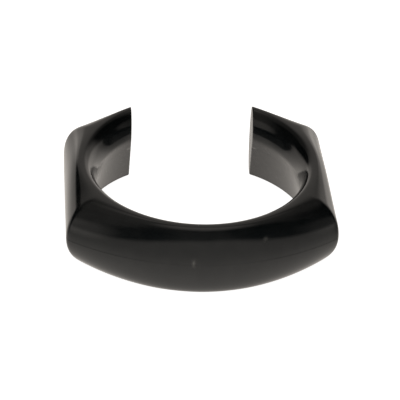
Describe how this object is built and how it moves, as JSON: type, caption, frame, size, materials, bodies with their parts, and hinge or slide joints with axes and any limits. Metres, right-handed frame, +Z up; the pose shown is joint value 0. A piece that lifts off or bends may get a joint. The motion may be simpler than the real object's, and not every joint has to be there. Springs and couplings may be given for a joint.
{
  "type": "fence insulator",
  "caption": "C-shaped black plastic collar that grips a round post: a round bore with a crease, an open back, flats at the sides and beside the mouth, a bowed front and a domed section.",
  "frame": {"origin": "centre of the bounding box's underside, on the plane that the collar stands on", "axes": "+Z up along the bore's axis, +Y from the bowed front towards the open mouth, +X to the right when the front is seen"},
  "size_m": [0.0802, 0.0724, 0.023],
  "materials": {
    "shell": "glossy black moulded plastic with a faint joint line",
    "spring_steel": "cold-rolled strip",
    "dowel": "natural nylon"
  },
  "bodies": {
    "root": {"upper_shell": "shell", "lower_shell": "shell", "spring_band": "spring_steel", "dowel_front_left": "dowel", "dowel_front_right": "dowel", "dowel_back_left": "dowel", "dowel_back_right": "dowel"}
  },
  "joints": []
}
